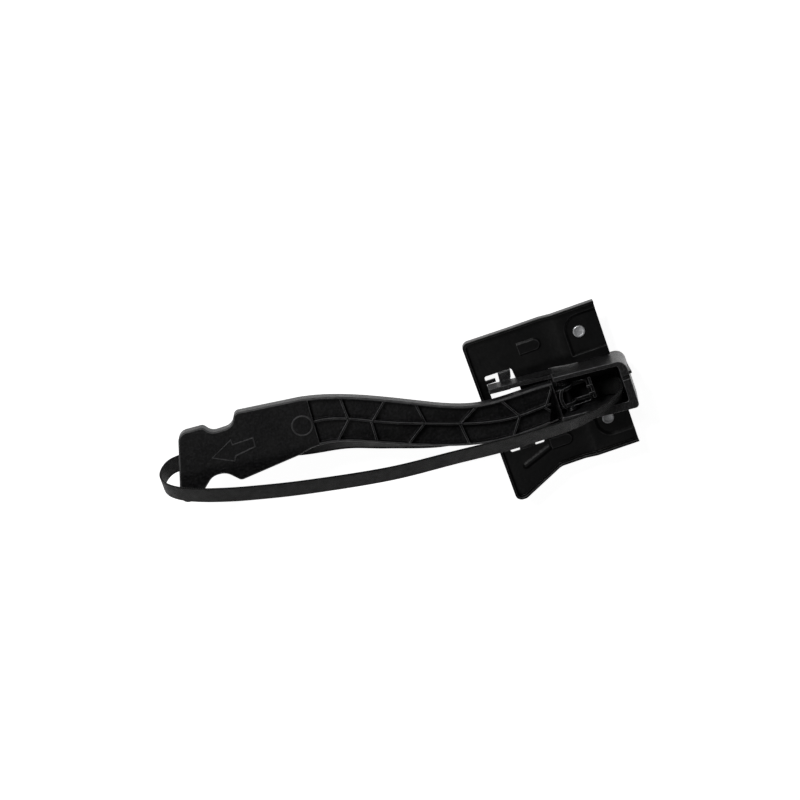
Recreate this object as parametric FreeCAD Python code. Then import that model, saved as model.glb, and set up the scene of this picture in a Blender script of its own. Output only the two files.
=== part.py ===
import FreeCAD, Part
import math
import os
from FreeCAD import Placement, Rotation, Vector

# Hood release handle: a long plastic lever with a T-grip, hinged in a plastic guide housing on a
# pressed steel bracket plate. A double torsion spring returns the lever, two clinch studs fasten the
# plate and the housing to the hood panel, and a flat nylon strap loops round the lever.
#
# Row frame, in millimetres: the origin lies midway between the two studs on the mounting plane, which
# is the back of the housing's ears. X runs along the plate away from the grip, Y runs from the lower
# stud to the upper one, and Z points out of the panel.
#
# The pivot frame is the row frame moved to the pivot's foot; the pin, the spring and the lever's hub
# are drawn in it. The arm frame is the pivot frame turned clockwise by the skew: u runs along the
# housing's rails away from the grip, v across them.

# Bracket plate, pressed from sheet
sheet = 2.0
plate_left = -87.3
plate_right = 17.0
plate_top = 57.3
plate_bottom = -61.5
tab_edge = -46.0           # where the lower edge turns down to the corner tab
tab_depth = 16.5
tab_width = 8.0            # flat foot of the corner tab
corner_radius = 5.0
rim_height = 4.0           # turned-up rim, above the sheet
left_bend = -48.0          # bend between the falling left zone and the pads
slope_left = -26.0
slope_right = -16.5
left_fall = 2.0            # how far the left zone falls at the plate's left edge
pad_step = 3.0             # how much higher the stud zone lies than the pads
recess_depth = 1.6         # stamped seats round the studs
recess_slope = 2.2         # width of a seat's sloping wall
recess_left = -8.5
recess_reach = 12.0        # from a stud to the outer edge of its seat
recess_radius = 10.0
stud_spacing = 73.3
ear_thickness = 3.8
ear_inset = 2.5            # the ears stay this far inside the seats

left_strip = 8.3           # sheet left of the window
window_top = 25.9
window_bottom = -39.4
window_right_high = -57.4
window_right_low = -51.6
window_radius = 1.5
tongue_rows = (-42.3, 38.2)
tongue_half_width = 5.2
tongue_right = -30.0
tongue_height = 1.1
tongue_slope = 1.3
bead_ends = ((-71.5, -53.3), (-50.0, -44.7))
bead_radius = 3.0
bead_sink = 1.6            # the bead's axis lies this far below the sheet's face
prong_low = 19.4
prong_width = 3.0
prong_length = 7.5

# Clinch studs and their sleeves
stud_radius = 3.0
stud_length = 12.0         # below the mounting plane
neck_radius = 3.3          # shoulder through the ear and the plate
head_radius = 4.7
head_height = 1.1
head_chamfer = 0.3
dish_radius = 3.3
dish_depth = 0.35
sleeve_wall = 1.2
sleeve_gap = 0.05

# Pivot
skew_deg = 5.2
pivot_x = -23.7
pivot_y = -4.7
pivot_height = 17.0
pin_radius = 2.2
pin_head_radius = 4.2
pin_head_height = 1.6
pin_chamfer = 0.5
pin_blind = 1.2            # wall left over the pin's far end
pin_end_gap = 0.3
running_gap = 0.05

# Guide housing
housing_height = 28.0
housing_floor = 2.5
housing_half_width = 19.65
wall_upper = 3.4
wall_lower = 6.6
housing_left = -8.5
end_inside = 42.0          # end wall, measured from the pivot
end_outside = 48.2
end_foot = 51.0
end_radius = 8.0
foot_radius = 3.0
plate_gap = 0.4            # between the housing and the plate's cut-out
step_v = 5.0               # step beside the strap that the lever's arm rests on
step_reach = 3.0           # its overhang past the housing
step_width = 2.5
cheek_left = -57.0
cheek_top = 18.0
cheek_foot = 4.7
cheek_thickness = 3.6
cheek_splay = 3.4          # the lower cheek stands further out, clear of the lever
hook_length = 16.5
hook_reach = 3.4
hook_top = 9.0
lug_low = 0.8
lug_high = 5.2
lug_gap = 0.3              # between a lug and the window's edge
boss_radius = 6.0
boss_proud = 1.4
pin_boss_radius = 5.6
pin_boss_proud = 0.9
groove_width = 3.2
groove_depth = 2.4
rib_thickness = 2.4
rib_proud = 2.4

# Return spring
wire = 1.5
wire_sides = 6
coil_radius = 3.9
coil_pitch = 1.56
turns_upper = 3
turns_lower = 2
coil_gap = 0.25            # beside the lever's hub
wall_gap = 0.6             # beside the housing's wall
leg_reach = 16.4
leg_bend = 2.4
leg_foot_gap = 0.3

# Lever
rise_deg = 2.5
lever_top = 26.0           # at the pivot
lever_depth = 8.5
edge_bevel = 0.8
tray_floor = 4.1
tray_wall = 1.8
tray_start = -190.0
tray_end = -11.2           # from the pivot
lever_end = -8.8
rib_width = 1.7
rib_drop = 0.4
grip_wall = 3.0
grip_ribs = (-215.0, -240.0, -264.0, -284.0)
hub_low = 14.0
hub_ear = 2.7
hub_ear_radius = 5.4
hub_web_top = 20.0
hub_arm_top = 16.4
collar_centre = (8.6, -0.8)
collar_radius = 12.9
collar_wall = 2.6
collar_top = 24.0
tail_x = 18.0
tail_wall = 2.2
tail_top = 22.0
tail_overhang = 1.9
lip_width = 2.0
lip_height = 1.4

# Edges of the lever at its top face, in the arm frame
arm_upper = [(-4.0, 15.0), (-50.0, 13.2), (-67.0, 13.6), (-86.0, 17.9), (-113.0, 28.3),
             (-140.0, 39.2), (-167.0, 48.4), (-196.0, 54.2)]
arm_lower = [(-206.0, 12.0), (-190.0, 15.2), (-176.0, 13.8), (-148.4, 5.3), (-112.0, -7.7),
             (-93.5, -13.0), (-68.0, -17.9), (-38.0, -18.0), (-4.0, -13.2)]
grip_corners = [
    (-244.8, 57.2, 4.0), (-249.6, 47.4, 9.0), (-265.5, 46.6, 8.0), (-270.5, 52.8, 4.0),
    (-289.6, 52.8, 8.0), (-304.4, -1.6, 6.0), (-290.0, -1.6, 2.6), (-274.5, 13.6, 11.0),
    (-264.0, 13.6, 11.0), (-254.5, 4.6, 4.0),
]
centre_line = [(-191.0, 34.4), (-165.0, 29.8), (-147.0, 22.6), (-110.2, 10.2), (-84.0, 2.6),
               (-57.4, -2.8), (-40.9, -3.6), (-20.4, -1.4), (-8.0, -0.6)]
cross_ribs = [
    ((-166.3, 50.0), (-164.6, 30.0)), ((-132.5, 38.0), (-147.2, 23.0)),
    ((-113.4, 29.0), (-109.7, 10.6)), ((-64.5, 16.0), (-83.1, 3.0)),
    ((-52.0, 14.5), (-39.6, -3.4)), ((-8.0, 18.0), (-18.3, -1.4)),
    ((-164.1, 29.0), (-178.5, 12.5)), ((-148.3, 22.4), (-148.0, 4.0)),
    ((-110.4, 10.0), (-127.5, -3.5)), ((-84.5, 2.9), (-80.8, -17.5)),
    ((-39.4, -3.6), (-49.2, -20.5)), ((-20.4, -1.4), (-5.5, -17.5)),
]

# Strap: centre points in the arm frame, and how far its width leans out of the arm's plane at each
strap_width = 15.0
strap_thickness = 1.5
strap_sweep = 0.08         # how far the strap's width leans along u
strap_points = [
    (24.0, -10.2, 36.4), (12.0, -12.0, 41.2), (-8.0, -12.8, 47.5), (-51.0, -12.8, 54.5),
    (-93.0, -11.2, 58.9), (-143.0, -9.3, 63.6), (-203.0, -4.2, 62.1), (-244.0, 0.6, 58.9),
    (-268.0, 4.0, 55.6), (-286.0, 7.2, 51.8), (-300.0, 10.4, 46.8), (-309.2, 14.2, 40.6),
    (-312.5, 18.5, 31.5), (-308.0, 22.5, 21.8), (-298.0, 24.3, 18.4), (-275.0, 25.0, 19.5),
    (-240.0, 21.0, 20.4), (-205.0, 13.5, 18.5), (-173.0, 6.6, 16.3), (-143.0, -2.4, 15.0),
    (-103.0, -11.5, 13.3), (-70.0, -10.5, 12.0), (-35.0, -6.0, 9.6), (-8.0, -3.5, 7.4),
    (20.0, -3.5, 5.6), (33.5, -3.8, 7.4), (39.2, -4.4, 13.6), (39.8, -5.0, 21.0),
    (38.0, -5.8, 28.2), (33.0, -7.0, 33.2),
]
strap_lean_deg = [
    49, 44, 37, 33, 32, 30, 28, 27, 27, 27, 27, 27, 27, 25, 22, 14, -4, -38, -76, -82,
    -70, -40, -12, 0, 0, 4, 14, 28, 42, 46,
]


def arc_outline(corners):
    """Closed wire through corners (x, y, radius), with each corner rounded by its own radius."""
    edges = []
    count = len(corners)
    starts = []
    ends = []
    for i, (x, y, radius) in enumerate(corners):
        here = Vector(x, y, 0)
        before = Vector(*corners[i - 1][:2], 0)
        after = Vector(*corners[(i + 1) % count][:2], 0)
        back = (before - here).normalize()
        ahead = (after - here).normalize()
        half = back.getAngle(ahead) / 2
        run = radius / math.tan(half)
        starts.append(here + back * run)
        ends.append(here + ahead * run)
        if radius > 0:
            middle = (back + ahead).normalize() * (radius / math.sin(half) - radius)
            edges.append(Part.Arc(starts[i], here + middle, ends[i]).toShape())
        else:
            edges.append(None)
    joined = []
    for i in range(count):
        if edges[i]:
            joined.append(edges[i])
        following = starts[(i + 1) % count]
        if (following - ends[i]).Length > 1e-6:
            joined.append(Part.LineSegment(ends[i], following).toShape())
    return Part.Wire(joined)


def prism(wire_shape, low, high):
    """Upright solid on a flat wire, from one height to another."""
    face = Part.Face(wire_shape)
    face.translate(Vector(0, 0, low))
    return face.extrude(Vector(0, 0, high - low))


def block(x0, x1, y0, y1, z0, z1):
    return Part.makeBox(x1 - x0, y1 - y0, z1 - z0, Vector(x0, y0, z0))


def pillar(x, y, radius, z0, z1):
    return Part.makeCylinder(radius, z1 - z0, Vector(x, y, z0))


def across(x, z, radius, y0, y1):
    """Round bar along the pivot's direction."""
    return Part.makeCylinder(radius, y1 - y0, Vector(x, y0, z), Vector(0, 1, 0))


def strip(start, end, width, low, high):
    """Upright wall between two points of the plan."""
    a = Vector(*start, 0)
    b = Vector(*end, 0)
    side = Vector(0, 0, 1).cross(b - a).normalize() * (width / 2)
    corners = [a + side, b + side, b - side, a - side, a + side]
    return prism(Part.makePolygon(corners), low, high)


def moved_by(shape, place):
    moved = shape.copy()
    moved.Placement = place.multiply(moved.Placement)
    return moved


def skewed(shape):
    """Takes a shape of the arm frame to the pivot frame."""
    return moved_by(shape, Placement(Vector(0, 0, 0), Rotation(Vector(0, 0, 1), -skew_deg)))


def to_row(shape):
    """Takes a shape of the pivot frame to the row frame."""
    return moved_by(shape, Placement(Vector(pivot_x, pivot_y, 0), Rotation()))


def to_pivot(shape):
    """Takes a shape of the row frame to the pivot frame."""
    return moved_by(shape, Placement(Vector(-pivot_x, -pivot_y, 0), Rotation()))


def u_at(x, v):
    """Place along the rails, at a distance v across them, of the line that lies x from the pivot."""
    skew = math.radians(skew_deg)
    return (x - v * math.sin(skew)) / math.cos(skew)


# Heights of the sheet's back face, from the mounting plane
seat_back = ear_thickness
stud_zone_back = seat_back + recess_depth
pad_back = stud_zone_back - pad_step
pad_front = pad_back + sheet
left_back = pad_back - left_fall
head_seat = seat_back + sheet
stud_y = stud_spacing / 2
lever_low = lever_top - lever_depth
wall_low_v = -housing_half_width + wall_lower
wall_high_v = housing_half_width - wall_upper
hub_lower = wall_low_v + wall_gap + coil_pitch * turns_lower + wire + coil_gap
hub_upper = wall_high_v - boss_proud - wall_gap - coil_pitch * turns_upper - wire - coil_gap


def sheet_body(rise, thickness):
    """The pressed sheet without its outline, raised by rise."""
    line = [
        (plate_left - 1, left_back),
        (left_bend, pad_back),
        (slope_left, pad_back),
        (slope_right, stud_zone_back),
        (plate_right + 1, stud_zone_back),
    ]
    low = [Vector(x, 0, z + rise) for x, z in line]
    high = [Vector(x, 0, z + rise + thickness) for x, z in reversed(line)]
    face = Part.Face(Part.makePolygon(low + high + low[:1]))
    start = plate_bottom - tab_depth - 2
    face.translate(Vector(0, start, 0))
    return face.extrude(Vector(0, plate_top + 2 - start, 0))


def plate_outline(inset, right_extra):
    """Plan of the plate, drawn in by inset on its rimmed sides."""
    slant = tab_depth / (tab_edge - plate_left - tab_width)
    shift = inset * (math.hypot(1, slant) - slant)
    tab_foot = plate_bottom - tab_depth
    return arc_outline([
        (plate_left + inset, plate_top - inset, corner_radius - inset / 2),
        (plate_right + right_extra, plate_top - inset, 0),
        (plate_right + right_extra, plate_bottom + inset, 0),
        (tab_edge - shift + inset, plate_bottom + inset, corner_radius * 2),
        (plate_left + tab_width, tab_foot + inset, corner_radius),
        (plate_left + inset, tab_foot + inset, corner_radius - inset),
    ])


def seat_outline(side, grow):
    """Plan of the stamped seat round one stud, open towards the housing and the right edge."""
    reach = side * (stud_y + recess_reach + grow)
    inner = side * housing_half_width
    corners = [
        (recess_left - grow, inner, 0),
        (recess_left - grow, reach, recess_radius + grow),
        (plate_right + 3, reach, 0),
        (plate_right + 3, inner, 0),
    ]
    return arc_outline(corners if side < 0 else corners[::-1])


def loft_between(low_wire, low, high_wire, high):
    bottom = low_wire.copy()
    bottom.translate(Vector(0, 0, low))
    top = high_wire.copy()
    top.translate(Vector(0, 0, high))
    return Part.makeLoft([bottom, top], True, True)


def tongue_outline(y, grow):
    half = tongue_half_width + grow
    right = tongue_right + grow
    return arc_outline([
        (left_bend, y - half, 0),
        (right, y - half, half * 0.98),
        (right, y + half, half * 0.98),
        (left_bend, y + half, 0),
    ])


def window_outline(inset):
    left = plate_left + left_strip + inset
    return arc_outline([
        (left, window_bottom + inset, window_radius),
        (window_right_low - inset, window_bottom + inset, window_radius),
        (window_right_high - inset, window_top - inset, window_radius),
        (left, window_top - inset, window_radius),
    ])


def housing_plan(grow, end):
    """Plan of the housing's box in the arm frame, grown by grow, with its end wall at end."""
    half = housing_half_width + grow
    left = housing_left - grow
    return arc_outline([
        (left, -half, 0),
        (u_at(end + grow, -half), -half, foot_radius),
        (u_at(end + grow, half), half, end_radius),
        (left, half, 0),
    ])


def bead():
    """Rounded stiffening bead in the lower left corner."""
    fall = left_fall / (left_bend - plate_left + 1)
    ends = []
    for x, y in bead_ends:
        z = pad_front + (x - left_bend) * fall - bead_sink
        ends.append(Vector(x, y, z))
    run = ends[1] - ends[0]
    body = Part.makeCylinder(bead_radius, run.Length, ends[0], run)
    for end in ends:
        body = body.fuse(Part.makeSphere(bead_radius, end))
    return body.common(sheet_body(sheet / 2, bead_radius + sheet))


def bracket_plate():
    inside = prism(plate_outline(0, 0), left_back - 2, housing_height)
    body = sheet_body(0, sheet).common(inside)
    # turned-up rim on the left, top and lower edges
    rim_ring = inside.cut(prism(plate_outline(sheet, 5), left_back - 3, housing_height + 1))
    body = body.fuse(sheet_body(sheet / 2, rim_height + sheet / 2).common(rim_ring))
    # stamped seats round the studs, one sheet thick all over
    for side in (-1, 1):
        hollow = loft_between(seat_outline(side, 0), head_seat,
                              seat_outline(side, recess_slope), head_seat + recess_depth)
        back = loft_between(seat_outline(side, sheet / 2), seat_back,
                            seat_outline(side, sheet / 2 + recess_slope), stud_zone_back)
        body = body.fuse(back.common(inside)).cut(hollow)
    for y in tongue_rows:
        body = body.fuse(loft_between(tongue_outline(y, 0), pad_front,
                                      tongue_outline(y, -tongue_slope), pad_front + tongue_height))
    body = body.fuse(bead())
    # window behind the lever with its prong, and the cut-out that the housing stands in
    body = body.cut(prism(window_outline(0), left_back - 2, housing_height))
    edge = plate_left + left_strip
    prong = block(edge - 1, edge + prong_length, prong_low, prong_low + prong_width, -10, 10)
    body = body.fuse(prong.common(sheet_body(0, sheet)))
    cut_out = prism(housing_plan(plate_gap, end_foot), left_back - 2, housing_height)
    body = body.cut(to_row(skewed(cut_out)))
    for side in (-1, 1):
        body = body.cut(pillar(0, side * stud_y, neck_radius, 0, housing_height))
    return body.removeSplitter()


def stud(side):
    """Clinch stud: dished head on the plate's front, shoulder through plate and ear, and shank."""
    y = side * stud_y
    tip = stud_radius - 0.7
    shank = pillar(0, y, stud_radius, -stud_length + 0.7, 0)
    shank = shank.fuse(Part.makeCone(tip, stud_radius, 0.7, Vector(0, y, -stud_length)))
    shank = shank.fuse(pillar(0, y, neck_radius, 0, head_seat))
    head = pillar(0, y, head_radius, head_seat, head_seat + head_height)
    rim = [e for e in head.Edges if e.CenterOfMass.z > head_seat + head_height / 2
           and len(e.Vertexes) == 1]
    head = head.makeChamfer(head_chamfer, rim)
    dish = Part.makeCone(dish_radius - dish_depth, dish_radius, dish_depth,
                         Vector(0, y, head_seat + head_height - dish_depth))
    return shank.fuse(head.cut(dish)).removeSplitter()


def sleeve(side):
    """Steel tube in the housing's ear that takes the clamping load of a stud."""
    y = side * stud_y
    outer = pillar(0, y, neck_radius + sleeve_gap + sleeve_wall, 0, seat_back)
    return outer.cut(pillar(0, y, neck_radius + sleeve_gap, -1, seat_back + 1))


def ear(side):
    """Housing ear under one stamped seat, in the row frame, reaching in under the box."""
    reach = side * (stud_y + recess_reach + recess_slope - ear_inset)
    root = side * (housing_half_width / 2)
    left = recess_left - recess_slope + ear_inset
    right = plate_right - 1
    corners = [
        (left, root, 0),
        (left, reach, recess_radius),
        (right, reach, recess_radius),
        (right, root, 0),
    ]
    body = prism(arc_outline(corners if side < 0 else corners[::-1]), 0, seat_back)
    hole = neck_radius + sleeve_gap + sleeve_wall
    return body.cut(pillar(0, side * stud_y, hole, -1, seat_back + 1))


def lug_upper():
    """Lug that fills the window's upper corner beside the open loop, with a neck to the cheek."""
    left = cheek_left + 9.7
    neck_v = wall_high_v + 0.4
    plan = arc_outline([
        (left - 2.7, neck_v - 0.4, 0),
        (left + 2.1, neck_v - 0.4, 0),
        (left + 2.1, neck_v + 0.9, 0.8),
        (left + 8.7, neck_v + 0.9, 5.6),
        (left + 10.4, neck_v + 14.0, 0),
        (left, neck_v + 14.0, 0),
        (left, neck_v, 2.6),
        (left - 2.7, neck_v, 0),
    ])
    return prism(plan, lug_low, lug_high)


def lug_lower():
    """Lug that fills the middle of the window's lower edge, with a neck to the cheek."""
    left = cheek_left + 12.0
    neck_v = -housing_half_width - cheek_splay
    plan = arc_outline([
        (left + 4.4, neck_v + cheek_thickness, 0),
        (left + 4.4, neck_v - 6.0, 1.2),
        (left + 0.5, neck_v - 8.0, 3.0),
        (left, neck_v - 20.0, 0),
        (left + 13.4, neck_v - 20.0, 0),
        (left + 12.4, neck_v - 8.0, 3.0),
        (left + 8.6, neck_v - 6.0, 1.2),
        (left + 8.6, neck_v + cheek_thickness, 0),
    ])
    return prism(plan, lug_low, lug_high)


def guide_housing():
    body = loft_between(housing_plan(0, end_foot), 0, housing_plan(0, end_outside), housing_height)
    body = skewed(body)
    for side in (-1, 1):
        body = body.fuse(to_pivot(ear(side)))
    cavity = arc_outline([
        (housing_left - 5, wall_low_v, 0),
        (u_at(end_inside, wall_low_v), wall_low_v, 1.5),
        (u_at(end_inside, wall_high_v), wall_high_v, 2.5),
        (housing_left - 5, wall_high_v, 0),
    ])
    body = body.cut(skewed(prism(cavity, housing_floor, housing_height + 1)))
    # step that the lever rests on, beside the strap
    step = block(housing_left - step_reach, housing_left + step_width, step_v, wall_high_v,
                 cheek_foot, hub_low)
    step = step.fuse(block(housing_left, housing_left + step_width, step_v, wall_high_v,
                           housing_floor / 2, hub_low))
    body = body.fuse(skewed(step))
    # guide cheeks along the lever, one with a hook at its end, and their lugs
    low_v = -housing_half_width - cheek_splay
    cheeks = block(cheek_left, housing_left + 2, wall_high_v, wall_high_v + cheek_thickness,
                   cheek_foot, cheek_top)
    cheeks = cheeks.fuse([
        block(cheek_left, housing_left + 2, low_v, low_v + cheek_thickness, cheek_foot, cheek_top),
        block(cheek_left, cheek_left + hook_length, wall_high_v - hook_reach, wall_high_v + 1,
              cheek_foot, hook_top),
    ])
    room = to_pivot(prism(window_outline(lug_gap), -5, housing_height))
    lugs = skewed(lug_upper()).common(room).fuse(skewed(lug_lower()).common(room))
    body = body.fuse([skewed(cheeks), lugs])
    # groove over the end wall, with a small rib outside
    body = body.cut(block(end_inside - 2, end_foot + 2, 0, groove_width,
                          housing_height - groove_depth, housing_height + 1))
    body = body.fuse(block(end_outside - 2, end_outside + rib_proud, groove_width,
                           groove_width + rib_thickness, housing_floor, housing_height - 1))
    # bosses round the pin, inside the upper wall and outside the lower one
    body = body.fuse(across(0, pivot_height, boss_radius, wall_high_v - boss_proud, wall_high_v + 1))
    body = body.fuse(across(0, pivot_height, pin_boss_radius, -housing_half_width - pin_boss_proud,
                            wall_low_v - 2))
    body = body.cut(across(0, pivot_height, pin_radius, -housing_half_width - 3,
                           housing_half_width - pin_blind))
    return to_row(body.removeSplitter())


def pivot_pin():
    seat = -housing_half_width - pin_boss_proud
    shank = across(0, pivot_height, pin_radius, seat, housing_half_width - pin_blind - pin_end_gap)
    head = across(0, pivot_height, pin_head_radius, seat - pin_head_height, seat)
    rim = [e for e in head.Edges if e.CenterOfMass.y < seat - pin_head_height / 2
           and len(e.Vertexes) == 1]
    head = head.makeChamfer(pin_chamfer, rim)
    return to_row(shank.fuse(head).removeSplitter())


def spline(points):
    curve = Part.BSplineCurve()
    curve.interpolate([Vector(x, y, 0) for x, y in points])
    return curve


def drawn_in(points, distance):
    """Points of an arm edge, moved into the arm; the arm lies on their right as they are listed."""
    line = spline(points)
    moved = []
    for x, y in points:
        tangent = line.tangent(line.parameter(Vector(x, y, 0)))[0]
        inward = tangent.cross(Vector(0, 0, 1)).normalize() * distance
        moved.append((x - inward.x, y - inward.y))
    return moved


def lever_outline(inset):
    """Closed wire round the arm and the grip, drawn in by inset."""
    upper = drawn_in(arm_upper, inset)
    lower = drawn_in(arm_lower, inset)
    first = Vector(*upper[-1], 0)
    last = Vector(*lower[0], 0)
    plan = [(*arm_upper[-1], 0)] + grip_corners + [(*arm_lower[0], 0)]
    grip = inset_corners(plan, inset)[1:-1]
    corners = [(first.x, first.y, 0)] + grip + [(last.x, last.y, 0)]
    edges = [spline(upper).toShape()]
    for edge in arc_outline(corners).Edges:
        at_chord = (edge.CenterOfMass - (first + last) * 0.5).Length < 1.0
        if not at_chord:
            edges.append(edge)
    edges.append(spline(lower).toShape())
    edges.append(Part.LineSegment(Vector(*lower[-1], 0), Vector(*upper[0], 0)).toShape())
    return Part.Wire(Part.__sortEdges__(edges))


def between(upper, lower):
    """Closed wire between two splines that run opposite ways."""
    a = spline(upper).toShape()
    b = spline(lower).toShape()
    start = Part.LineSegment(Vector(*lower[-1], 0), Vector(*upper[0], 0)).toShape()
    end = Part.LineSegment(Vector(*upper[-1], 0), Vector(*lower[0], 0)).toShape()
    return Part.Wire(Part.__sortEdges__([a, end, b, start]))


def curved_rib(points, width, low, high):
    """Upright wall that follows a spline."""
    left = drawn_in(points, width / 2)
    right = drawn_in(points, -width / 2)
    return prism(between(left, right[::-1]), low, high)


def inset_corners(corners, distance):
    """Corners of a closed plan listed anticlockwise, moved in by a distance, with their radii."""
    moved = []
    count = len(corners)
    for i, (x, y, radius) in enumerate(corners):
        before = Vector(x - corners[i - 1][0], y - corners[i - 1][1], 0).normalize()
        after = Vector(corners[(i + 1) % count][0] - x, corners[(i + 1) % count][1] - y, 0).normalize()
        turn = before.cross(after).z
        bisector = Vector(0, 0, 1).cross(before + after).normalize()
        run = distance / math.cos(before.getAngle(after) / 2)
        new_radius = radius - distance if turn > 0 else radius + distance
        moved.append((x + bisector.x * run, y + bisector.y * run, max(new_radius, 0.5)))
    return moved


def handle_lever():
    wide = 400
    body = prism(lever_outline(0), lever_low, lever_top - edge_bevel)
    body = body.fuse(loft_between(lever_outline(0), lever_top - edge_bevel,
                                  lever_outline(edge_bevel), lever_top))
    # open ribbed tray along the arm
    rib_low = lever_low + tray_floor - 0.5
    rib_high = lever_top - rib_drop
    tray = prism(between(drawn_in(arm_upper, tray_wall), drawn_in(arm_lower, tray_wall)),
                 lever_low + tray_floor, lever_top + 1)
    tray = tray.common(block(tray_start, 0, -wide, wide, 0, wide))
    tray = tray.cut(curved_rib(centre_line, rib_width, rib_low, rib_high))
    for start, end in cross_ribs:
        tray = tray.cut(strip(start, end, rib_width, rib_low, rib_high))
    tray = skewed(tray).cut(block(tray_end, wide, -wide, wide, 0, wide))
    # the grip is cored from behind, with a rib along it and ribs across it
    core_end = tray_start - grip_wall * 2
    plan = [(core_end, 50.5, 1.0)] + grip_corners + [(core_end, 13.2, 1.0)]
    core = prism(arc_outline(inset_corners(plan, grip_wall)), lever_low - 1, lever_top - grip_wall)
    core = core.cut(strip((core_end, 33.0), (-320.0, 24.0), rib_width, 0, lever_top))
    for u in grip_ribs:
        core = core.cut(block(u, u + rib_width, -60, 80, 0, lever_top))
    body = skewed(body.cut(core)).cut(tray)
    body = body.cut(block(lever_end, wide, -wide, wide, 0, wide))
    # relief for the end of the housing's lower wall
    body = body.cut(block(lever_end - 4, 0, wall_low_v - 8, wall_low_v + 1, 0, wide))
    body.rotate(Vector(0, 0, pivot_height), Vector(0, 1, 0), rise_deg)
    body = body.fuse(hub())
    body = body.cut(across(0, pivot_height, pin_radius + running_gap, hub_lower - 1, hub_upper + 1))
    return to_row(body.removeSplitter())


def hub():
    """The lever's hub: web and collar, two ears on the pin, and the tail that the spring lifts."""
    x, y = collar_centre
    inside = pillar(x, y, collar_radius, 0, housing_height)
    web = block(lever_end - 1.5, 0, hub_lower, hub_upper, hub_low, hub_web_top)
    ring = pillar(x, y, collar_radius + collar_wall, hub_low, collar_top)
    ring = ring.common(block(lever_end - 1, 0, hub_lower, hub_upper, 0, housing_height))
    body = web.fuse(ring).cut(inside)
    for y0 in (hub_lower, hub_upper - hub_ear):
        web = block(lever_end, 0, y0, y0 + hub_ear, hub_low, pivot_height + hub_ear_radius)
        arm = block(0, tail_x + 1, y0, y0 + hub_ear, hub_low, hub_arm_top)
        body = body.fuse([web, arm, across(0, pivot_height, hub_ear_radius, y0, y0 + hub_ear)])
    body = body.fuse(block(tail_x, tail_x + tail_wall, hub_lower, hub_upper + tail_overhang,
                           hub_low, tail_top))
    # two lips over the spring's bar
    bar_top = pivot_height + coil_radius + wire / 2 + running_gap
    middle = (hub_lower + hub_upper) / 2
    for y0 in (middle - 2 * lip_width, middle + lip_width):
        body = body.fuse(block(leg_reach - 1, tail_x + 1, y0, y0 + lip_width, bar_top,
                               bar_top + lip_height))
        body = body.fuse(block(tail_x, tail_x + tail_wall, y0, y0 + lip_width, tail_top - 1,
                               bar_top + lip_height))
    return body


def along(point, heading, profile, route):
    """Solid that a profile sweeps; each move is a length to run, or a centre and degrees to bend."""
    pieces = []
    face = profile
    for move in route:
        if isinstance(move, tuple):
            centre, degrees = move
            axis = (point - centre).cross(heading).normalize()
            pieces.append(face.revolve(centre, axis, degrees))
            turn = Rotation(axis, degrees)
            point = centre + turn.multVec(point - centre)
            heading = turn.multVec(heading)
            face = face.copy()
            face.rotate(centre, axis, degrees)
        else:
            pieces.append(face.extrude(heading * move))
            point = point + heading * move
            face = face.copy()
            face.translate(heading * move)
    return pieces[0].fuse(pieces[1:]).removeSplitter()


def coil_route(y_start, y_step, turns):
    """Half turns of a coil that starts and ends on the grip's side of the pin."""
    return [(Vector(0, y_start + y_step * (k + 0.5), pivot_height), 180) for k in range(2 * turns)]


def skin(rings, closed):
    """Solid along rings of points: one long ruled face per side, with flat caps where it is open."""
    edges = []
    for k in range(len(rings[0])):
        curve = Part.BSplineCurve()
        curve.interpolate(Points=[ring[k] for ring in rings], PeriodicFlag=closed)
        edges.append(curve.toShape())
    faces = [Part.makeRuledSurface(edges[k - 1], edges[k]) for k in range(len(edges))]
    if not closed:
        for ring in (rings[0], rings[-1]):
            faces.append(Part.Face(Part.makePolygon(ring + ring[:1])))
    shell = Part.makeShell(faces)
    shell.sewShape()
    body = Part.makeSolid(Part.Shell(shell.Faces))
    if body.Volume < 0:
        body.reverse()
    return body


def return_spring():
    """Double torsion spring: one wire, coiled beside both hub ears, with its bar behind the tail."""
    foot = housing_floor + leg_foot_gap
    y_upper = hub_upper + coil_gap + wire / 2
    y_lower = hub_lower - coil_gap - wire / 2
    half_pitch = coil_pitch / 2
    start = Vector(-coil_radius, y_upper + coil_pitch * turns_upper, foot)
    run = leg_reach - leg_bend
    route = [pivot_height - foot]
    route += coil_route(start.y, -half_pitch, turns_upper)
    route += [(Vector(0, y_upper, pivot_height), 90), run]
    route += [(Vector(run, y_upper - leg_bend, pivot_height + coil_radius), 90)]
    route += [y_upper - y_lower - 2 * leg_bend]
    route += [(Vector(run, y_lower + leg_bend, pivot_height + coil_radius), 90)]
    route += [run, (Vector(0, y_lower, pivot_height), 90)]
    route += coil_route(y_lower, -half_pitch, turns_lower)
    route += [pivot_height - foot]
    corners = []
    for k in range(wire_sides + 1):
        angle = 2 * math.pi * (k + 0.5) / wire_sides
        corners.append(start + Vector(math.cos(angle), math.sin(angle), 0) * (wire / 2))
    return to_row(along(start, Vector(0, 0, 1), Part.Face(Part.makePolygon(corners)), route))


def strap():
    """Closed band of webbing."""
    centres = [Vector(*point) for point in strap_points]
    rings = []
    for i, centre in enumerate(centres):
        along_strap = (centres[(i + 1) % len(centres)] - centres[i - 1]).normalize()
        lean = math.radians(strap_lean_deg[i])
        width = Vector(strap_sweep, math.cos(lean), math.sin(lean))
        width = (width - along_strap * width.dot(along_strap)).normalize() * (strap_width / 2)
        normal = along_strap.cross(width).normalize() * (strap_thickness / 2)
        rings.append([centre - width - normal, centre + width - normal,
                      centre + width + normal, centre - width + normal])
    return to_row(skewed(skin(rings, True)))


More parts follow.
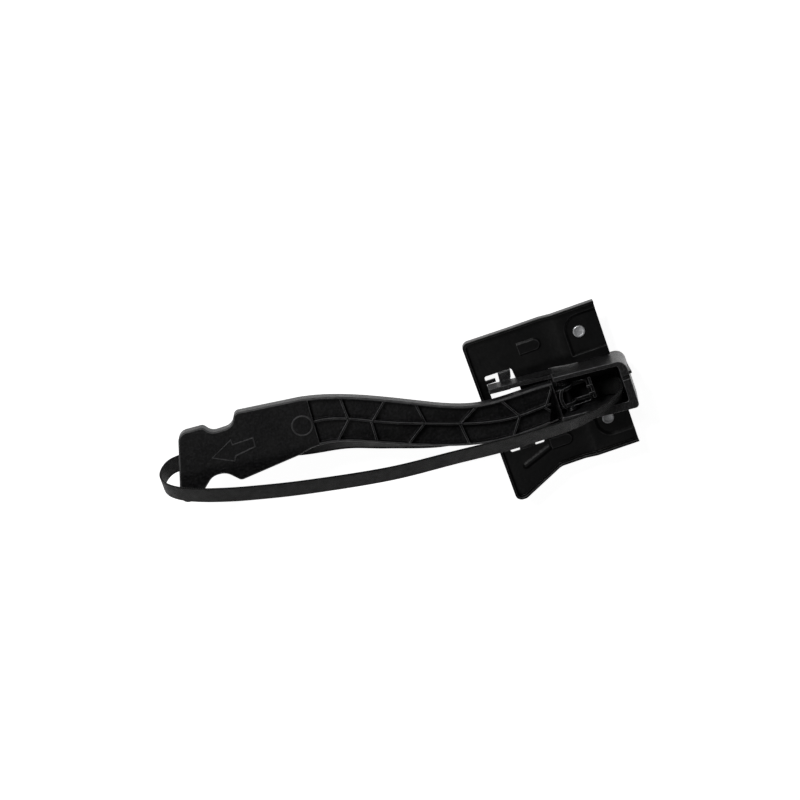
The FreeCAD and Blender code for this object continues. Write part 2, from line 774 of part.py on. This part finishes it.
nodes = {
    "bracket_plate": bracket_plate(),
    "stud_upper": stud(1),
    "stud_lower": stud(-1),
    "sleeve_upper": sleeve(1),
    "sleeve_lower": sleeve(-1),
    "guide_housing": guide_housing(),
    "pivot_pin": pivot_pin(),
    "handle_lever": handle_lever(),
    "return_spring": return_spring(),
    "strap": strap(),
}

os.makedirs("parts", exist_ok=True)
for name, shape in nodes.items():
    shape.exportStep(f"parts/{name}.step")
    print(name, len(shape.Solids), "solids", round(shape.Volume), "mm3", shape.isValid())
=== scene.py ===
import bpy
import bmesh
import math
from mathutils import Matrix, Vector


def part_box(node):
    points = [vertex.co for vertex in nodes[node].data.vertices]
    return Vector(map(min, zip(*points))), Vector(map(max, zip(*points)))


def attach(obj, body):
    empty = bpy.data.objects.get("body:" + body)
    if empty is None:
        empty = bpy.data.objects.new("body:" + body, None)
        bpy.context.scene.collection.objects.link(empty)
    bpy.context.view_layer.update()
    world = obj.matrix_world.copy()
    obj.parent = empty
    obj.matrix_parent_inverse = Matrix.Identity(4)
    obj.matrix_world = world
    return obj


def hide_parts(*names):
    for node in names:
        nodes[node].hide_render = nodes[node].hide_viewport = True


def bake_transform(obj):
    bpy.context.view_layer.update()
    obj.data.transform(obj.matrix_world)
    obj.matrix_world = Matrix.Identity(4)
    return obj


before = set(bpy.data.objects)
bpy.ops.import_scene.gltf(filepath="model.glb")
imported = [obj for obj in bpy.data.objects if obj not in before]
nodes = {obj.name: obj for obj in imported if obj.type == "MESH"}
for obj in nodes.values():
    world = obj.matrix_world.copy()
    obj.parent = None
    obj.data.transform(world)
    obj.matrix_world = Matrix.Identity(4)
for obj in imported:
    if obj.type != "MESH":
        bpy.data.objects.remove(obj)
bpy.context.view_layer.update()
bpy.ops.object.select_all(action="DESELECT")


# Bracket plate: 2 mm sheet steel, pressed, trimmed and pierced, then dipped in black electrocoat.
# It carries everything else and is fastened to the hood's inner panel by its two studs. Its cut
# edges are broken, so they catch the light.
def new_group(name, inputs, outputs):
    """Node group with named value inputs (name, default) and outputs (name, type)."""
    group = bpy.data.node_groups.new(name, "ShaderNodeTree")
    for label, default in inputs:
        socket = group.interface.new_socket(name=label, in_out="INPUT",
                                            socket_type="NodeSocketFloat")
        socket.default_value = default
    for label, kind in outputs:
        group.interface.new_socket(name=label, in_out="OUTPUT", socket_type=kind)
    entry = group.nodes.new("NodeGroupInput")
    leaving = group.nodes.new("NodeGroupOutput")
    return group, entry, leaving


def math_node(tree, operation, a, b=None):
    """Math node whose two inputs are sockets or numbers; gives its output socket."""
    node = tree.nodes.new("ShaderNodeMath")
    node.operation = operation
    for k, value in enumerate((a, b)):
        if isinstance(value, (int, float)):
            node.inputs[k].default_value = value
        elif value is not None:
            tree.links.new(value, node.inputs[k])
    return node.outputs[0]


def ranged(tree, value, from_low, from_high, to_low, to_high):
    """Map Range node; its numbers may be sockets."""
    node = tree.nodes.new("ShaderNodeMapRange")
    tree.links.new(value, node.inputs["Value"])
    for label, number in (("From Min", from_low), ("From Max", from_high),
                          ("To Min", to_low), ("To Max", to_high)):
        if isinstance(number, (int, float)):
            node.inputs[label].default_value = number
        else:
            tree.links.new(number, node.inputs[label])
    return node.outputs["Result"]


def noise(tree, vector, scale, detail, roughness=0.5):
    node = tree.nodes.new("ShaderNodeTexNoise")
    tree.links.new(vector, node.inputs["Vector"])
    if isinstance(scale, (int, float)):
        node.inputs["Scale"].default_value = scale
    else:
        tree.links.new(scale, node.inputs["Scale"])
    node.inputs["Detail"].default_value = detail
    node.inputs["Roughness"].default_value = roughness
    return node.outputs["Fac"]


# grain of a moulded, coated or plated surface
grain, entry, leaving = new_group("grain", [("Scale", 900), ("Pits", 0.4)],
                                  [("Height", "NodeSocketFloat")])
place = grain.nodes.new("ShaderNodeTexCoord").outputs["Object"]
fine = noise(grain, place, entry.outputs["Scale"], 3)
cells = grain.nodes.new("ShaderNodeTexVoronoi")
cells.feature = "SMOOTH_F1"
grain.links.new(place, cells.inputs["Vector"])
grain.links.new(math_node(grain, "MULTIPLY", entry.outputs["Scale"], 0.7), cells.inputs["Scale"])
pitted = math_node(grain, "MULTIPLY", cells.outputs["Distance"], entry.outputs["Pits"])
grain.links.new(math_node(grain, "ADD", fine, pitted), leaving.inputs["Height"])

# wear and a painted highlight along the rounded edges, which each piece marks face by face
edge_wear_and_highlight, entry, leaving = new_group("edge_wear_and_highlight", [("Break", 120), ("Least", 0.45)],
                                      [("Mask", "NodeSocketFloat")])
rubbed_and_highlit = edge_wear_and_highlight.nodes.new("ShaderNodeAttribute")
rubbed_and_highlit.attribute_name = "rubbed_and_highlit"
place = edge_wear_and_highlight.nodes.new("ShaderNodeTexCoord").outputs["Object"]
broken = ranged(edge_wear_and_highlight, noise(edge_wear_and_highlight, place, entry.outputs["Break"], 4), 0.35, 0.6,
                entry.outputs["Least"], 1)
edge_wear_and_highlight.links.new(math_node(edge_wear_and_highlight, "MULTIPLY", rubbed_and_highlit.outputs["Fac"], broken),
                    leaving.inputs["Mask"])

# dust that lies on upward faces
dust, entry, leaving = new_group("dust", [("Scale", 60), ("Amount", 0.5)],
                                 [("Mask", "NodeSocketFloat")])
corner = dust.nodes.new("ShaderNodeTexCoord")
height_part = dust.nodes.new("ShaderNodeSeparateXYZ")
dust.links.new(corner.outputs["Normal"], height_part.inputs[0])
upward = ranged(dust, height_part.outputs["Z"], 0.3, 1, 0, 1)
patches = ranged(dust, noise(dust, corner.outputs["Object"], entry.outputs["Scale"], 6, 0.65),
                 0.42, 0.72, 0, entry.outputs["Amount"])
dust.links.new(math_node(dust, "MULTIPLY", upward, patches), leaving.inputs["Mask"])
dust_colour = (0.09, 0.088, 0.084, 1)


def place_group(tree, group, **values):
    node = tree.nodes.new("ShaderNodeGroup")
    node.node_tree = group
    for label, value in values.items():
        node.inputs[label].default_value = value
    return node


def mixed(tree, mask, first, second):
    """Colour mix; first and second are colours or sockets."""
    node = tree.nodes.new("ShaderNodeMix")
    node.data_type = "RGBA"
    tree.links.new(mask, node.inputs["Factor"])
    for label, value in (("A", first), ("B", second)):
        socket = next(s for s in node.inputs if s.name == label and s.type == "RGBA")
        if isinstance(value, tuple):
            socket.default_value = value
        else:
            tree.links.new(value, socket)
    return next(s for s in node.outputs if s.type == "RGBA")


def finish(name, base, worn_and_highlit, dusty, grain_scale, grain_depth, pits, shine, least_wear_and_highlight, metallic=0.0,
           specular=0.5, speck=1.6):
    """Material with grain, lighter edges (wear and painted highlight), dust, varied gloss (shine:
    lowest, highest).
    """
    material = bpy.data.materials.new(name)
    material.use_nodes = True
    tree = material.node_tree
    shader = tree.nodes["Principled BSDF"]
    shader.inputs["Metallic"].default_value = metallic
    shader.inputs["Specular IOR Level"].default_value = specular
    surface = place_group(tree, grain, Scale=grain_scale, Pits=pits)
    edges = place_group(tree, edge_wear_and_highlight, Least=least_wear_and_highlight)
    lying = place_group(tree, dust, Amount=dusty)
    specks = ranged(tree, surface.outputs["Height"], 0.5 + pits * 0.3, 0.75 + pits * 0.4, 0, 1)
    speckled = mixed(tree, specks, (*base, 1), (*(speck * part for part in base), 1))
    # edges lighter in colour: partly real wear, partly a painted highlight
    at_edges = mixed(tree, edges.outputs["Mask"], speckled, (*worn_and_highlit, 1))
    colour = mixed(tree, lying.outputs["Mask"], at_edges, dust_colour)
    tree.links.new(colour, shader.inputs["Base Color"])
    place = tree.nodes.new("ShaderNodeTexCoord").outputs["Object"]
    gloss = ranged(tree, noise(tree, place, 45, 5, 0.6), 0.3, 0.7, shine[0], shine[1])
    gloss = math_node(tree, "ADD", gloss, math_node(tree, "MULTIPLY", lying.outputs["Mask"], 0.3))
    tree.links.new(gloss, shader.inputs["Roughness"])
    bump = tree.nodes.new("ShaderNodeBump")
    bump.inputs["Strength"].default_value = 1
    bump.inputs["Distance"].default_value = grain_depth
    tree.links.new(surface.outputs["Height"], bump.inputs["Height"])
    tree.links.new(bump.outputs["Normal"], shader.inputs["Normal"])
    return material


def start_with(piece):
    """Makes one object the only selected and the active one."""
    bpy.ops.object.select_all(action="DESELECT")
    piece.select_set(True)
    bpy.context.view_layer.objects.active = piece


wear_and_highlight_turn = 0.75
merge_distance = 0.00001
flat_angle = math.radians(0.5)
edge_angle = math.radians(26)
smooth_angle = math.radians(35)


def mark_rubbed_and_highlit(piece):
    """Marks how much each rounded face turns outwards, to lighten it as wear and painted highlight;
    those faces come with material number 1.
    """
    shape = bmesh.new()
    shape.from_mesh(piece.data)
    marks = []
    for face in shape.faces:
        longest = max(edge.calc_length() for edge in face.edges)
        turned = sum(edge.calc_face_angle_signed(0) * edge.calc_length() for edge in face.edges)
        wear_and_highlight_share = min(1, max(0, turned / longest / wear_and_highlight_turn))
        marks.append(wear_and_highlight_share if face.material_index == 1 else 0)
    shape.free()
    layer = piece.data.attributes.new("rubbed_and_highlit", "FLOAT", "FACE")
    layer.data.foreach_set("value", marks)
    piece.data.polygons.foreach_set("material_index", [0] * len(marks))


def rounded_copy(name, node, width, segments):
    """Merged copy of a CAD solid with its edges rounded, which stands for that solid."""
    piece = bpy.data.objects.new(name, nodes[node].data.copy())
    bpy.context.collection.objects.link(piece)
    piece.data.materials.clear()
    for _ in range(2):
        piece.data.materials.append(None)
    start_with(piece)
    bpy.ops.object.mode_set(mode="EDIT")
    bpy.ops.mesh.select_all(action="SELECT")
    bpy.ops.mesh.remove_doubles(threshold=merge_distance)
    bpy.ops.mesh.dissolve_limited(angle_limit=flat_angle)
    bpy.ops.object.mode_set(mode="OBJECT")
    rounding = piece.modifiers.new("rounding", "BEVEL")
    rounding.width = width
    rounding.segments = segments
    rounding.limit_method = "ANGLE"
    rounding.angle_limit = edge_angle
    rounding.use_clamp_overlap = False
    rounding.material = 1
    bpy.ops.object.modifier_apply(modifier="rounding")
    mark_rubbed_and_highlit(piece)
    bpy.ops.object.shade_smooth_by_angle(angle=smooth_angle)
    evening = piece.modifiers.new("evening", "WEIGHTED_NORMAL")
    evening.keep_sharp = True
    bpy.ops.object.modifier_apply(modifier="evening")
    return piece


def settle(piece, body, slot, material, *replaced):
    """Gives a piece its material, the body it rides on and what it stands for; its slot is not
    used.
    """
    piece.data.materials.clear()
    piece.data.materials.append(material)
    if replaced:
        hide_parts(*replaced)
    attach(piece, body)


# the plate's rounded rims take a lighter colour: partly wear, partly a painted highlight
coated_steel = finish("coated_steel", (0.0025, 0.0025, 0.0027), (0.07, 0.07, 0.072), 0.05, 420,
                      0.00012, 0.3, (0.3, 0.44), 0.3, specular=0.35, speck=2)
plate = rounded_copy("plate_pressing", "bracket_plate", 0.0004, 2)
settle(plate, "mounting", "coated_steel", coated_steel, "bracket_plate")


# Clinch studs: M6 steel, rolled thread, zinc plated, with a flat dished head that is pressed into
# the plate's stamped seat. Each is turned as one profile and its thread is a true helix.
bright_steel = finish("bright_steel", (0.78, 0.79, 0.81), (0.75, 0.75, 0.77), 0.08, 1500, 0.00002,
                      0.5, (0.34, 0.5), 0.4, metallic=0.7)
stud_y = 0.03665
head_seat = 0.0058
head_top = 0.0069
stud_steps = 40
thread_pitch = 0.001
thread_depth = 0.00055
thread_radius = 0.00298
thread_first, thread_last = -0.0007, -0.0113
shank_radius = 0.0033
stud_profile = [(0.0, head_top - 0.00042), (0.0011, head_top - 0.00042),
                (0.0016, head_top - 0.00034),
                (0.0027, head_top - 0.0003), (0.0031, head_top - 0.00018), (0.0034, head_top),
                (0.0041, head_top), (0.00448, head_top - 0.00012), (0.00466, head_top - 0.0004),
                (0.00468, head_seat + 0.0002), (0.0045, head_seat),
                (shank_radius, head_seat), (shank_radius, 0.0), (thread_radius, -0.0002)]
thread_rows = 88
for row in range(thread_rows + 1):
    stud_profile.append((thread_radius, -0.0006 - 0.0105 * row / thread_rows))
stud_profile += [(0.0024, -0.0117), (0.0022, -0.012), (0.0, -0.012)]
for name, side in (("stud_upper", 1), ("stud_lower", -1)):
    turned = bpy.data.meshes.new(name + "_turned")
    body = bmesh.new()
    rings = []
    for radius, z in stud_profile:
        if radius == 0:
            rings.append([body.verts.new((0, side * stud_y, z))])
            continue
        ring = []
        for step in range(stud_steps):
            angle = 2 * math.pi * step / stud_steps
            reach = radius
            if thread_last < z < thread_first:
                phase = (z / thread_pitch + step / stud_steps) % 1
                reach = radius - thread_depth * abs(2 * phase - 1) ** 0.8
            ring.append(body.verts.new((reach * math.cos(angle),
                                        side * stud_y + reach * math.sin(angle), z)))
        rings.append(ring)
    for above, below in zip(rings, rings[1:]):
        for step in range(stud_steps):
            after = (step + 1) % stud_steps
            corners = {above[step % len(above)]: 0, above[after % len(above)]: 0,
                       below[after % len(below)]: 0, below[step % len(below)]: 0}
            body.faces.new(list(corners))
    bmesh.ops.recalc_face_normals(body, faces=body.faces)
    body.to_mesh(turned)
    body.free()
    stud = bpy.data.objects.new(name + "_turned", turned)
    bpy.context.collection.objects.link(stud)
    start_with(stud)
    bpy.ops.object.shade_smooth_by_angle(angle=math.radians(40))
    settle(stud, "mounting", "bright_steel", bright_steel, name)


# Sleeves: cut lengths of steel tube in the housing's ears, hidden between the plate and the panel.
# They take the studs' clamping load, so that the plastic ears aren't crushed.
for name in ("sleeve_upper", "sleeve_lower"):
    tube = rounded_copy(name + "_tube", name, 0.0002, 2)
    settle(tube, "mounting", "bright_steel", bright_steel, name)


# Guide housing: black nylon moulding that stands in the plate's cut-out, with two ears behind the
# stud seats, two cheeks along the lever and two lugs that fill the corners of the window.
# the housing's rounded edges take a lighter colour: partly wear, partly a painted highlight
housing_plastic = finish("housing_plastic", (0.011, 0.011, 0.0115), (0.16, 0.16, 0.163), 0.06, 900,
                         0.0005, 0.5, (0.28, 0.42), 0.5, specular=0.6, speck=4)
housing = rounded_copy("housing_moulding", "guide_housing", 0.00045, 2)
settle(housing, "mounting", "housing_plastic", housing_plastic, "guide_housing")


# Pivot pin: turned steel with a chamfered head, blackened, pressed through both walls of the
# housing. The lever's hub turns on it.
pin_steel = finish("pin_steel", (0.02, 0.02, 0.021), (0.12, 0.12, 0.12), 0.05, 1800, 0.00002, 0.3,
                   (0.26, 0.38), 0.5, metallic=0.6)
pin = rounded_copy("pin_turned", "pivot_pin", 0.0002, 2)
settle(pin, "mounting", "pin_steel", pin_steel, "pivot_pin")


# Return spring: one length of 1.5 mm spring wire, coiled three turns beside the hub's upper ear
# and two beside its lower one; its bar lies under the lips of the lever's tail.
spring_steel = finish("spring_steel", (0.035, 0.035, 0.036), (0.2, 0.2, 0.2), 0.04, 1600, 0.00002,
                      0.3, (0.24, 0.36), 0.5, metallic=0.7)
pivot = Vector((-0.0237, -0.0047, 0.017))
coil_radius = 0.0039
coil_pitch = 0.00156
spring_low, spring_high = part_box("return_spring")
wire_radius = 0.00075
leg_foot = spring_low.z
leg_reach = 0.0164
leg_bend = 0.0024
turns_upper = 3
turns_lower = 2
y_end_upper = spring_high.y - wire_radius - pivot.y
y_upper = y_end_upper - coil_pitch * turns_upper
y_end_lower = spring_low.y + wire_radius - pivot.y
y_lower = y_end_lower + coil_pitch * turns_lower
steps_a_turn = 28


def coil_points(y_first, y_last, turns, first_angle, last_angle):
    """Points round the pin, from an angle at one y to an angle at another y."""
    points = []
    count = turns * steps_a_turn
    for step in range(count + 1):
        share = step / count
        angle = first_angle + (last_angle - first_angle) * share
        points.append(Vector((coil_radius * math.cos(angle), y_first + (y_last - y_first) * share,
                              coil_radius * math.sin(angle))))
    return points


def corner_points(middle, first, second, radius):
    """Quarter bend between two directions that stand square to each other."""
    points = []
    for step in range(1, 8):
        angle = math.pi / 2 * step / 8
        points.append(middle + (first * math.cos(angle) + second * math.sin(angle)) * radius)
    return points


bar_x = leg_reach - leg_bend
wire_line = [Vector((-coil_radius, y_end_upper, leg_foot - pivot.z))]
wire_line += coil_points(y_end_upper, y_upper, turns_upper, math.pi,
                         -math.pi * (2 * turns_upper - 1.5))
wire_line += corner_points(Vector((bar_x, y_upper - leg_bend, coil_radius)), Vector((0, 1, 0)),
                           Vector((1, 0, 0)), leg_bend)
wire_line += corner_points(Vector((bar_x, y_lower + leg_bend, coil_radius)), Vector((1, 0, 0)),
                           Vector((0, -1, 0)), leg_bend)
wire_line += coil_points(y_lower, y_end_lower, turns_lower, math.pi / 2,
                         math.pi * (2 * turns_lower + 1))
wire_line.append(Vector((-coil_radius, y_end_lower, leg_foot - pivot.z)))
wire_curve = bpy.data.curves.new("spring_wire", "CURVE")
wire_curve.dimensions = "3D"
wire_curve.bevel_depth = wire_radius
wire_curve.bevel_resolution = 3
wire_curve.use_fill_caps = True
run = wire_curve.splines.new("POLY")
run.points.add(len(wire_line) - 1)
for point, spot in zip(run.points, wire_line):
    point.co = (*(spot + pivot), 1)
spring = bpy.data.objects.new("spring_wire", wire_curve)
bpy.context.collection.objects.link(spring)
start_with(spring)
bpy.ops.object.convert(target="MESH")
spring = bpy.context.object
bpy.ops.object.shade_smooth_by_angle(angle=math.radians(50))
spring.data.materials.clear()
spring.data.materials.append(spring_steel)
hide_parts("return_spring")
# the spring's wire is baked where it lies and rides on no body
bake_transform(spring)


# Lever: one long moulding of black glass-filled nylon, with an open ribbed tray along the arm, a
# hub on the pin and a T-grip whose face has a fine spark-eroded texture.
# the lever's rounded rims and rib tops take a lighter colour: partly wear, partly a painted
# highlight
lever_plastic = finish("lever_plastic", (0.0035, 0.0035, 0.0038), (0.13, 0.13, 0.133), 0.08, 700,
                       0.0005, 0.6, (0.36, 0.5), 0.55, specular=0.35, speck=4)
lever = rounded_copy("lever_moulding", "handle_lever", 0.00045, 2)
settle(lever, "lever", "lever_plastic", lever_plastic, "handle_lever")


# Marks on the grip: an open arrow that shows the way to the hand's end, and a ring beside the first
# rib, both raised from the mould. Their round lines are centred on the grip's face and so stand
# 0.7 mm proud of it.
skew = math.radians(-5.2)
rise = math.radians(2.5)
arm_place = (Matrix.Translation(pivot) @ Matrix.Rotation(rise, 4, "Y")
             @ Matrix.Rotation(skew, 4, "Z") @ Matrix.Translation((0, 0, -pivot.z)))
grip_face = 0.026
mark_radius = 0.0007
mark_shine = 0.6
arrow_outline = [(-270.4, 27.9), (-253.4, 37.6), (-253.1, 33.7), (-236.7, 34.9), (-237.0, 27.7),
                 (-252.9, 24.8), (-255.0, 20.9)]
ring_centre = (-198.8, 33.9)
ring_reach = 7.6
ring_outline = []
for step in range(36):
    angle = 2 * math.pi * step / 36
    ring_outline.append((ring_centre[0] + ring_reach * math.cos(angle),
                         ring_centre[1] + ring_reach * math.sin(angle)))
for name, outline in (("arrow_mark", arrow_outline), ("ring_mark", ring_outline)):
    line = bpy.data.curves.new(name, "CURVE")
    line.dimensions = "3D"
    line.bevel_depth = mark_radius
    line.bevel_resolution = 3
    path = line.splines.new("POLY")
    path.points.add(len(outline) - 1)
    path.use_cyclic_u = True
    for point, (u, v) in zip(path.points, outline):
        point.co = (*(arm_place @ Vector((u / 1000, v / 1000, grip_face))), 1)
    mark = bpy.data.objects.new(name, line)
    bpy.context.collection.objects.link(mark)
    start_with(mark)
    bpy.ops.object.convert(target="MESH")
    mark = bpy.context.object
    bpy.ops.object.shade_smooth_by_angle(angle=math.radians(60))
    # the marks take the lighter edge colour all over: partly wear on the raised lines, partly a
    # painted highlight
    layer = mark.data.attributes.new("rubbed_and_highlit", "FLOAT", "FACE")
    layer.data.foreach_set("value", [mark_shine] * len(mark.data.polygons))
    settle(mark, "lever", "lever_plastic", lever_plastic)


# Strap: flat black nylon webbing, 15 mm wide and 1.5 mm thick, woven with a rounded selvedge and
# joined to a closed loop. It hangs from the housing's end wall and passes round the T-grip.
weave, entry, leaving = new_group("weave", [("Warp", 1.1), ("Weft", 1.4)],
                                  [("Height", "NodeSocketFloat"), ("Gaps", "NodeSocketFloat"),
                                   ("Selvedge", "NodeSocketFloat")])
threads = weave.nodes.new("ShaderNodeUVMap")
threads.uv_map = "threads"
split = weave.nodes.new("ShaderNodeSeparateXYZ")
weave.links.new(threads.outputs["UV"], split.inputs[0])
warp_turn = math_node(weave, "MULTIPLY", math_node(weave, "DIVIDE", split.outputs["Y"],
                                                   entry.outputs["Warp"]), 2 * math.pi)
weft_turn = math_node(weave, "MULTIPLY", math_node(weave, "DIVIDE", split.outputs["X"],
                                                   entry.outputs["Weft"]), 2 * math.pi)
ridges = math_node(weave, "ABSOLUTE", math_node(weave, "SINE", warp_turn))
checker = math_node(weave, "MULTIPLY", math_node(weave, "SINE", warp_turn),
                    math_node(weave, "SINE", weft_turn))
relief = math_node(weave, "ADD", ridges, math_node(weave, "MULTIPLY", checker, 0.6))
weave.links.new(relief, leaving.inputs["Height"])
weave.links.new(ranged(weave, relief, -0.2, 0.7, 1, 0), leaving.inputs["Gaps"])
from_middle = math_node(weave, "ABSOLUTE", split.outputs["Y"])
weave.links.new(ranged(weave, from_middle, 0.003, 0.0065, 0, 1), leaving.inputs["Selvedge"])

webbing = bpy.data.materials.new("webbing")
webbing.use_nodes = True
tree = webbing.node_tree
shader = tree.nodes["Principled BSDF"]
woven = place_group(tree, weave, Warp=0.0011, Weft=0.0014)
lying = place_group(tree, dust, Amount=0.12, Scale=90)
thread = (0.013, 0.013, 0.0134, 1)
gap_shade = (0.001, 0.001, 0.001, 1)
selvedge_shade = (0.0015, 0.0015, 0.0015, 1)
middle_colour = mixed(tree, woven.outputs["Gaps"], thread, gap_shade)
thread_colour = mixed(tree, woven.outputs["Selvedge"], middle_colour, selvedge_shade)
colour = mixed(tree, lying.outputs["Mask"], thread_colour, dust_colour)
tree.links.new(colour, shader.inputs["Base Color"])
place = tree.nodes.new("ShaderNodeTexCoord").outputs["Object"]
tree.links.new(ranged(tree, noise(tree, place, 200, 4), 0.3, 0.7, 0.36, 0.5),
               shader.inputs["Roughness"])
shader.inputs["Sheen Weight"].default_value = 0.04
shader.inputs["Specular IOR Level"].default_value = 0.13
bump = tree.nodes.new("ShaderNodeBump")
bump.inputs["Distance"].default_value = 0.0003
tree.links.new(woven.outputs["Height"], bump.inputs["Height"])
tree.links.new(bump.outputs["Normal"], shader.inputs["Normal"])

strap_width = 0.015
strap_thickness = 0.0015
strap_clearance = 0.0001
strap_sweep = 0.08
strap_points = [
    (24.0, -10.2, 36.4), (12.0, -12.0, 41.2), (-8.0, -12.8, 47.5), (-51.0, -12.8, 54.5),
    (-93.0, -11.2, 58.9), (-143.0, -9.3, 63.6), (-203.0, -4.2, 62.1), (-244.0, 0.6, 58.9),
    (-268.0, 4.0, 55.6), (-286.0, 7.2, 51.8), (-300.0, 10.4, 46.8), (-309.2, 14.2, 40.6),
    (-312.5, 18.5, 31.5), (-308.0, 22.5, 21.8), (-298.0, 24.3, 18.4), (-275.0, 25.0, 19.5),
    (-240.0, 21.0, 20.4), (-205.0, 13.5, 18.5), (-173.0, 6.6, 16.3), (-143.0, -2.4, 15.0),
    (-103.0, -11.5, 13.3), (-70.0, -10.5, 12.0), (-35.0, -6.0, 9.6), (-8.0, -3.5, 7.4),
    (20.0, -3.5, 5.6), (33.5, -3.8, 7.4), (39.2, -4.4, 13.6), (39.8, -5.0, 21.0),
    (38.0, -5.8, 28.2), (33.0, -7.0, 33.2),
]
strap_lean = [49, 44, 37, 33, 32, 30, 28, 27, 27, 27, 27, 27, 27, 25, 22, 14, -4, -38, -76, -82,
              -70, -40, -12, 0, 0, 4, 14, 28, 42, 46]
steps_a_span = 9
across_strap = (-0.5, -0.44, -0.22, 0.0, 0.22, 0.44, 0.5)


def between_points(values, i, share):
    """Smooth closed curve through values, between number i and the next."""
    p0, p1, p2, p3 = (values[(i + k) % len(values)] for k in (-1, 0, 1, 2))
    return 0.5 * (2 * p1 + (p2 - p0) * share + (2 * p0 - 5 * p1 + 4 * p2 - p3) * share ** 2
                  + (3 * p1 - p0 - 3 * p2 + p3) * share ** 3)


centres = []
leans = []
route = [Vector(point) / 1000 for point in strap_points]
for i in range(len(route)):
    for step in range(steps_a_span):
        centres.append(between_points(route, i, step / steps_a_span))
        leans.append(math.radians(between_points(strap_lean, i, step / steps_a_span)))
strap_place = Matrix.Translation((pivot.x, pivot.y, 0)) @ Matrix.Rotation(skew, 4, "Z")
band = bmesh.new()
rows = []
run_length = [0.0]
for i, centre in enumerate(centres):
    ahead = (centres[(i + 1) % len(centres)] - centres[i - 1]).normalized()
    width = Vector((strap_sweep, math.cos(leans[i]), math.sin(leans[i])))
    width = (width - ahead * width.dot(ahead)).normalized() * strap_width
    rows.append([band.verts.new(strap_place @ (centre + width * share)) for share in across_strap])
    run_length.append(run_length[-1] + (centres[(i + 1) % len(centres)] - centre).length)
threads_layer = band.loops.layers.uv.new("threads")
for i, row in enumerate(rows):
    after = rows[(i + 1) % len(rows)]
    for k in range(len(across_strap) - 1):
        face = band.faces.new((row[k], after[k], after[k + 1], row[k + 1]))
        spots = ((i, k), (i + 1, k), (i + 1, k + 1), (i, k + 1))
        for loop, (n, m) in zip(face.loops, spots):
            loop[threads_layer].uv = (run_length[n], across_strap[m] * strap_width)
strap_mesh = bpy.data.meshes.new("strap_webbing")
band.to_mesh(strap_mesh)
band.free()
strap = bpy.data.objects.new("strap_webbing", strap_mesh)
bpy.context.collection.objects.link(strap)
start_with(strap)
thickening = strap.modifiers.new("thickness", "SOLIDIFY")
thickening.thickness = strap_thickness - strap_clearance
thickening.offset = 0
thickening.use_even_offset = True
selvedge = strap.modifiers.new("selvedge", "BEVEL")
selvedge.width = 0.0005
selvedge.segments = 3
selvedge.limit_method = "ANGLE"
selvedge.angle_limit = math.radians(60)
bpy.ops.object.modifier_apply(modifier="thickness")
bpy.ops.object.modifier_apply(modifier="selvedge")
bpy.ops.object.shade_smooth_by_angle(angle=math.radians(50))
strap.data.materials.clear()
strap.data.materials.append(webbing)
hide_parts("strap")
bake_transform(strap)


# Floor and studio: a pale paper sheet that shows as near white, one large soft lamp behind the
# object, and two small ones in front whose light glances off its level faces.
floor_height = -0.014
floor_size = 90
floor_glow = 0.93
sky_strength = 0.035
bpy.ops.mesh.primitive_plane_add(size=floor_size, location=(0, 0, floor_height))
floor = bpy.context.object
floor.name = "floor"
paper = bpy.data.materials.new("paper")
paper.use_nodes = True
shader = paper.node_tree.nodes["Principled BSDF"]
shader.inputs["Base Color"].default_value = (0.8, 0.8, 0.8, 1)
shader.inputs["Roughness"].default_value = 1
shader.inputs["Emission Color"].default_value = (1, 1, 1, 1)
ray = paper.node_tree.nodes.new("ShaderNodeLightPath")
seen = math_node(paper.node_tree, "MAXIMUM", ray.outputs["Is Camera Ray"],
                 ray.outputs["Is Transmission Ray"])
seen = math_node(paper.node_tree, "MAXIMUM", seen, ray.outputs["Is Glossy Ray"])
glow = math_node(paper.node_tree, "MULTIPLY", seen, floor_glow)
paper.node_tree.links.new(glow, shader.inputs["Emission Strength"])
floor.data.materials.append(paper)

world = bpy.data.worlds.new("studio")
bpy.context.scene.world = world
world.use_nodes = True
world.node_tree.nodes["Background"].inputs["Color"].default_value = (1, 1, 1, 1)
world.node_tree.nodes["Background"].inputs["Strength"].default_value = sky_strength

for place, target, size, power in (
    ((-0.45, 0.9, 0.9), (-0.1, 0, 0), 0.35, 7),
    ((-0.58, -0.42, 1.14), (-0.2, 0, 0), 0.26, 0.65),
    ((0.06, -0.42, 1.14), (0, 0, 0), 0.16, 0.07),
):
    bpy.ops.object.light_add(type="AREA", location=place)
    lamp = bpy.context.object
    lamp.data.size = size
    lamp.data.energy = power
    lamp.rotation_euler = (Vector(place) - Vector(target)).to_track_quat("Z", "Y").to_euler()

# Camera: high over the lever's middle, turned so that the plate leans to the right.
bpy.ops.object.camera_add(location=(-0.04145, 0.38596, 1.13885))
camera = bpy.context.object
camera.rotation_euler = (math.radians(-18.0), math.radians(-1.146), math.radians(-19.86))
camera.data.sensor_width = 36
camera.data.lens = 70.2
bpy.context.scene.camera = camera
bpy.context.scene.view_settings.view_transform = "Standard"
